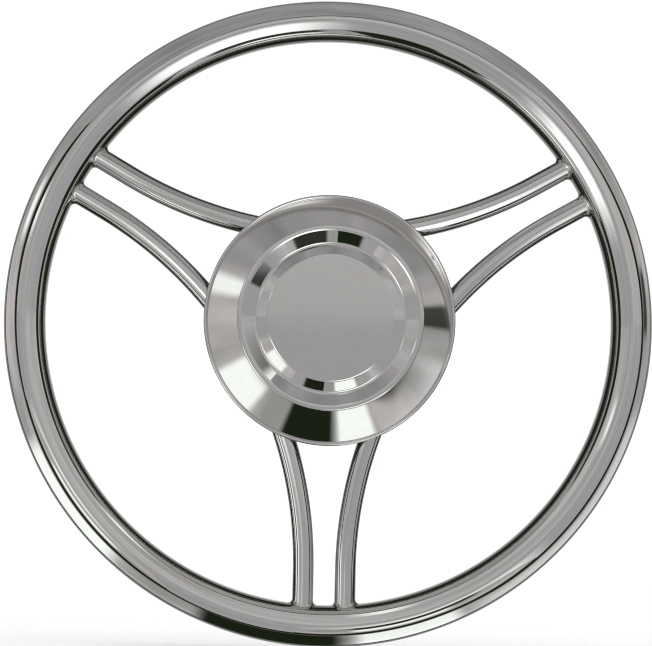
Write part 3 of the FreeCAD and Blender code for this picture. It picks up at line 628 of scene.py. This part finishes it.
def soft_boxes(T, coord, base, boxes):
    """Lays soft-edged panels over a base colour. coord is (clock, angle, 0)."""
    col = base
    for c0, c1, q0, q1, ec, eq, colour, strength in boxes:
        if c1 < c0:
            c1 += 360
        cc, qc = (c0 + c1) / 2, (q0 + q1) / 2
        hc, hq = (c1 - c0) / 2, (q1 - q0) / 2
        d = T.vec("SUBTRACT", coord, (cc, qc, 0.0))
        d = T.vec("WRAP", d, (180.0, 1000.0, 1.0), (-180.0, -1000.0, -1.0))
        d = T.vec("ABSOLUTE", d)
        x, y, _ = T.split(d)
        f = T.math("MULTIPLY", T.smooth(x, hc + ec, hc - ec), T.smooth(y, hq + eq, hq - eq))
        col = T.mix(T.math("MULTIPLY", f, strength), col, colour)
    return col


def studio_light():
    world = bpy.data.worlds.new("studio")
    world.use_nodes = True
    tree = world.node_tree
    tree.nodes.clear()
    T = Tree(tree)
    tc = T.new("ShaderNodeTexCoord")
    x, y, z = T.split(tc.outputs["Generated"])
    dx, dz = T.math("SUBTRACT", x, AXIS[0]), T.math("SUBTRACT", z, AXIS[1])
    clock = T.math("FLOORED_MODULO", T.math("MULTIPLY", T.math("ARCTAN2", dx, dz), 180.0 / math.pi), 360.0)
    ahead = T.math("MULTIPLY", y, -1.0)
    rad = T.math("SQRT", T.math("ADD", T.math("MULTIPLY", dx, dx), T.math("MULTIPLY", dz, dz)))
    angle = T.math("MULTIPLY", T.math("ARCTAN2", rad, ahead), 180.0 / math.pi)
    # light falls off gently down the screen
    screen = T.mix(T.smooth(dz, -0.0045, 0.0055), (0.45, 0.45, 0.48), (0.60, 0.60, 0.60))
    soft = T.noise(tc.outputs["Generated"], 2.4, detail=3.0)
    screen = T.mix(T.linear(soft, 0.35, 0.65), (0.42, 0.43, 0.42), screen)
    screen = T.mix(T.smooth(angle, 65.5, 68.5), screen, BLACK)
    behind = T.mix(T.smooth(angle, 122, 132), screen, (0.24, 0.25, 0.25))
    behind = T.mix(T.smooth(angle, 142, 158), behind, (0.78, 0.80, 0.80))
    col = soft_boxes(T, T.join(clock, angle, 0.0), behind, LAMPS)
    lp = T.new("ShaderNodeLightPath")
    mirrored = T.new("ShaderNodeBackground")
    T.put(mirrored.inputs["Color"], col)
    backdrop = T.new("ShaderNodeBackground")
    backdrop.inputs["Color"].default_value = (1.0, 1.0, 1.0, 1.0)
    backdrop.inputs["Strength"].default_value = 1.12
    mixer = T.new("ShaderNodeMixShader")
    T.put(mixer.inputs[0], T.math("MAXIMUM", lp.outputs["Is Camera Ray"], lp.outputs["Is Diffuse Ray"]))
    T.put(mixer.inputs[1], mirrored.outputs[0])
    T.put(mixer.inputs[2], backdrop.outputs[0])
    out = T.new("ShaderNodeOutputWorld")
    T.put(out.inputs["Surface"], mixer.outputs[0])
    scene.world = world
    world.cycles.sampling_method = "NONE"


def front_edge(clock):
    for (c0, _, _, e0), (c1, _, _, e1) in zip(SEAM, SEAM[1:]):
        if clock <= c1:
            return -(e0 + (e1 - e0) * (clock - c0) / (c1 - c0))
    return -SEAM[0][3]


def ring_card():
    """The ring of card round the wheel, glowing with painted light and shade. It shows in the steel's reflections only.
    """
    n = 720
    verts, faces = [], []
    for edge in (front_edge, lambda clock: CARD_BACK):
        for i in range(n):
            a = 2 * math.pi * i / n
            verts.append((CARD_R * math.sin(a), edge(360.0 * i / n), CARD_R * math.cos(a)))
    for i in range(n):
        j = (i + 1) % n
        faces.append((i, j, n + j, n + i))
    ob = build("glowing_studio_card", verts, faces, smooth=False)
    mat = bpy.data.materials.new("glowing_studio_card")
    mat.use_nodes = True
    tree = mat.node_tree
    tree.nodes.clear()
    T = Tree(tree)
    geo = T.new("ShaderNodeNewGeometry")
    x, y, z = T.split(geo.outputs["Position"])
    clock = T.math("FLOORED_MODULO", T.math("MULTIPLY", T.math("ARCTAN2", x, z), 180.0 / math.pi), 360.0)
    soft = T.noise(geo.outputs["Position"], 9.0, detail=2.0)
    base = T.mix(T.linear(soft, 0.35, 0.65), (0.38, 0.39, 0.38), (0.66, 0.64, 0.64))
    height = T.math("MULTIPLY", y, 1000.0)
    col = soft_boxes(T, T.join(clock, height, 0.0), base, SECTORS)
    stops = T.ramp(T.math("DIVIDE", clock, 360.0), [(c / 360.0, (h / 250.0, w / 50.0, 0.0)) for c, h, w, e in SEAM])
    centre, half, _ = T.split(stops)
    away = T.math("ABSOLUTE", T.math("MULTIPLY_ADD", centre, 250.0, height))
    col = T.mix(T.smooth(T.math("DIVIDE", away, T.math("MULTIPLY", half, 50.0)), 1.35, 0.6), col, BLACK)
    em = T.new("ShaderNodeEmission")
    T.put(em.inputs["Color"], col)
    out = T.new("ShaderNodeOutputMaterial")
    T.put(out.inputs["Surface"], em.outputs[0])
    mat.cycles.emission_sampling = "NONE"
    ob.data.materials.append(mat)
    ob.visible_camera = False
    ob.visible_diffuse = False
    ob.visible_shadow = False
    ob.visible_transmission = False
    ob.visible_volume_scatter = False


# ------------------------------------------------------------------ finishes
def steel(name, coords, base=STEEL, rough=(0.04, 0.09), grain=0.045, lines=None, bump=0.02, extra=None, streaks=0.03):
    """Polished or brushed stainless steel. coords(T) gives the vector that the marks follow."""
    mat = bpy.data.materials.new(name)
    mat.use_nodes = True
    tree = mat.node_tree
    tree.nodes.clear()
    T = Tree(tree)
    bsdf = T.new("ShaderNodeBsdfPrincipled")
    bsdf.inputs["Metallic"].default_value = 1.0
    out = T.new("ShaderNodeOutputMaterial")
    T.put(out.inputs["Surface"], bsdf.outputs[0])
    tc = T.new("ShaderNodeTexCoord")
    obj = tc.outputs["Object"]
    v = coords(T, tc)
    # fine mottled grain left by the polishing wheel
    fine = T.noise(obj, 1500.0, detail=2.0, rough=0.6, color=True)
    fx, fy, fz = T.split(fine)
    cloud = T.noise(obj, 55.0, detail=3.0, rough=0.6)
    gain = T.linear(fx, 0.25, 0.75, 1.0 - grain, 1.0 + grain)
    gain = T.math("MULTIPLY", gain, T.linear(cloud, 0.3, 0.7, 0.985, 1.015))
    if lines is None:
        lines = (1.0, 1.0, 1.0)
    # broad soft streaks that follow the polishing
    broad = T.noise(T.vec("MULTIPLY", v, tuple(l * 0.22 for l in lines)), 1.0, detail=2.0, rough=0.6)
    gain = T.math("MULTIPLY", gain, T.linear(broad, 0.3, 0.7, 1.0 - streaks, 1.0 + streaks))
    tint = T.linear(fy, 0.25, 0.75, -grain * 0.5, grain * 0.5)
    r = T.math("MULTIPLY", T.math("MULTIPLY_ADD", tint, 1.0, base[0]), gain)
    g = T.math("MULTIPLY", base[1], gain)
    b = T.math("MULTIPLY", T.math("MULTIPLY_ADD", tint, -1.0, base[2]), gain)
    n = T.new("ShaderNodeCombineColor")
    T.put(n.inputs[0], r)
    T.put(n.inputs[1], g)
    T.put(n.inputs[2], b)
    col = n.outputs[0]
    haze = T.noise(obj, 28.0, detail=4.0, rough=0.62)
    rg = T.linear(haze, 0.35, 0.7, rough[0], rough[1])
    # polishing lines
    streak = T.noise(T.vec("MULTIPLY", v, lines), 1.0, detail=3.0, rough=0.7)
    scratch = T.noise(T.vec("MULTIPLY", v, tuple(l * 2.7 for l in lines)), 1.0, detail=1.0, rough=0.5)
    rg = T.math("ADD", rg, T.linear(scratch, 0.62, 0.75, 0.0, rough[1] * 0.7))
    height = T.math("ADD", T.math("MULTIPLY", streak, 0.6), T.math("MULTIPLY", scratch, 0.4))
    if extra is not None:
        col, rg, height = extra(T, tc, v, col, rg, height)
    T.put(bsdf.inputs["Base Color"], col)
    T.put(bsdf.inputs["Roughness"], rg)
    bm = T.new("ShaderNodeBump")
    bm.inputs["Strength"].default_value = 1.0
    bm.inputs["Distance"].default_value = bump * MM
    T.put(bm.inputs["Height"], height)
    T.put(bsdf.inputs["Normal"], bm.outputs[0])
    return mat


def tube_coords(T, tc):
    a = T.new("ShaderNodeAttribute", attribute_name="tube")
    return a.outputs["Vector"]


def object_coords(T, tc):
    return tc.outputs["Object"]


def turned_coords(T, tc):
    """Distance from the wheel's axis and height, for faces turned on a lathe."""
    x, y, z = T.split(tc.outputs["Object"])
    r = T.math("SQRT", T.math("ADD", T.math("MULTIPLY", x, x), T.math("MULTIPLY", z, z)))
    a = T.math("ARCTAN2", x, z)
    return T.join(r, y, T.math("MULTIPLY", a, 0.02))


def weld_tint(T, tc, v, col, rg, height):
    x, y, z = T.split(v)
    edge = T.math("ABSOLUTE", T.math("SUBTRACT", T.math("DIVIDE", y, 0.004), 0.5))
    warm = T.smooth(edge, 0.25, 0.5)
    col = T.mix(T.math("MULTIPLY", warm, 0.35), col, (0.60, 0.52, 0.42))
    return col, rg, height


def make_finishes():
    m = {}
    m["rim"] = steel("rim_polished_steel", tube_coords, rough=(0.035, 0.075), grain=0.07, lines=(14.0, 2600.0, 2600.0), bump=0.0006,
                     streaks=0.09)
    m["spoke"] = steel("spoke_polished_steel", tube_coords, rough=(0.05, 0.10), grain=0.07, lines=(16.0, 2600.0, 2600.0), bump=0.0008,
                       streaks=0.08)
    m["cap"] = steel("cap_polished_steel", turned_coords, rough=(0.03, 0.06), grain=0.07, lines=(2200.0, 2200.0, 40.0), bump=0.0004,
                     streaks=0.008)
    m["weld"] = steel("weld_steel", tube_coords, base=(0.66, 0.63, 0.60), rough=(0.14, 0.26), grain=0.07,
                      lines=(900.0, 900.0, 900.0), bump=0.01, extra=weld_tint)
    m["plate"] = steel("plate_brushed_steel", turned_coords, base=(0.60, 0.59, 0.58), rough=(0.22, 0.34), grain=0.06,
                       lines=(3200.0, 3200.0, 60.0), bump=0.006)
    m["boss"] = steel("boss_turned_steel", turned_coords, base=(0.62, 0.61, 0.60), rough=(0.16, 0.26), grain=0.05,
                      lines=(4200.0, 4200.0, 30.0), bump=0.010)
    m["fastener"] = steel("fastener_steel", object_coords, base=(0.64, 0.63, 0.62), rough=(0.16, 0.30), grain=0.06,
                          lines=(1400.0, 1400.0, 1400.0), bump=0.004)
    return m


# --------------------------------------------------------------------- build
M = make_finishes()
pieces = []


def place(ob, mat, slot, *nodes):
    ob.data.materials.clear()
    ob.data.materials.append(mat)
    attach(ob, "root")
    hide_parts(*nodes)
    pieces.append(ob)


place(make_rim(), M["rim"], "polished_stainless", "rim_tube")
for tag, deg in (("top", 0), ("right", 120), ("left", -120)):
    place(make_bow("bow_%s_polished" % tag, deg), M["spoke"], "polished_stainless", "spoke_bow_" + tag)
cap = make_cap()
place(cap, M["cap"], "polished_stainless", "cap_shell")
k = 0
for tag, deg, s in (("upper_right", 60, -1), ("lower_right", 60, 1), ("bottom_right", 180, -1),
                    ("bottom_left", 180, 1), ("lower_left", 300, -1), ("upper_left", 300, 1)):
    k += 1
    place(make_rim_weld("rim_bead_" + tag, deg, s, 10 + k), M["weld"], "weld_metal", "rim_weld_" + tag)
for tag, deg in (("top", 0), ("right", 120), ("left", -120)):
    for side in ("inner", "outer"):
        k += 1
        place(make_bow_weld("bow_bead_%s_%s" % (tag, side), deg, side == "outer", 20 + k), M["weld"], "weld_metal",
              "bow_weld_%s_%s" % (tag, side))
place(make_ring_weld("hub_bead_rear", BOSS_R, PLATE_REAR, 1, 41), M["weld"], "weld_metal", "hub_weld_rear")
place(make_ring_weld("hub_bead_front", SPIGOT_R, PLATE_FRONT, -1, 42), M["weld"], "weld_metal", "hub_weld_front")

for node, mat in (("hub_plate", "plate"), ("hub_boss", "boss"), ("cap_post_bottom", "fastener"),
                  ("cap_post_left", "fastener"), ("cap_post_right", "fastener"), ("cap_screws", "fastener"),
                  ("cap_lock_washers", "fastener")):
    ob = NODES[node]
    if not ob.material_slots:
        ob.data.materials.append(M[mat])
    for slot in ob.material_slots:
        slot.material = M[mat]

# --------------------------------------------------------------------- stage
FLOOR_Z = -198.0
floor = build("floor", [(-6000, -6000, FLOOR_Z), (6000, -6000, FLOOR_Z), (6000, 6000, FLOOR_Z), (-6000, 6000, FLOOR_Z)],
              [(0, 1, 2, 3)], smooth=False)
fm = bpy.data.materials.new("floor_pale")
fm.use_nodes = True
bs = fm.node_tree.nodes["Principled BSDF"]
bs.inputs["Base Color"].default_value = (0.90, 0.90, 0.90, 1.0)
bs.inputs["Roughness"].default_value = 0.9
bs.inputs["Specular IOR Level"].default_value = 0.0
floor.data.materials.append(fm)
floor.visible_glossy = False

studio_light()
ring_card()

# -------------------------------------------------------------------- camera
D = 1.6
AZ, EL, ROLL = math.radians(-2.1), math.radians(-5.2), math.radians(1.16)
C = Vector((math.sin(AZ) * math.cos(EL), -math.cos(AZ) * math.cos(EL), math.sin(EL))) * D
fwd = (-C).normalized()
right = fwd.cross(Vector((0, 0, 1))).normalized()
up = right.cross(fwd)
cr, sr = math.cos(ROLL), math.sin(ROLL)
ax = right * cr + up * sr
ay = up * cr - right * sr
az = -fwd
cam_data = bpy.data.cameras.new("camera")
cam = bpy.data.objects.new("camera", cam_data)
scene.collection.objects.link(cam)
from mathutils import Matrix
cam.matrix_world = Matrix(((ax.x, ay.x, az.x, C.x), (ax.y, ay.y, az.y, C.y), (ax.z, ay.z, az.z, C.z), (0, 0, 0, 1)))
cam_data.sensor_width = 36.0
cam_data.sensor_fit = "HORIZONTAL"
cam_data.lens = 2635.7 * 36.0 / 652.0
cam_data.shift_x = -(329.3 - 326.0) / 652.0
cam_data.shift_y = (321.1 - 323.0) / 652.0
cam_data.clip_start = 0.01
cam_data.clip_end = 50.0
scene.camera = cam

scene.view_settings.view_transform = "Standard"
scene.view_settings.look = "None"
scene.cycles.use_denoising = True
scene.cycles.max_bounces = 8
scene.cycles.glossy_bounces = 6
scene.cycles.filter_width = 1.2
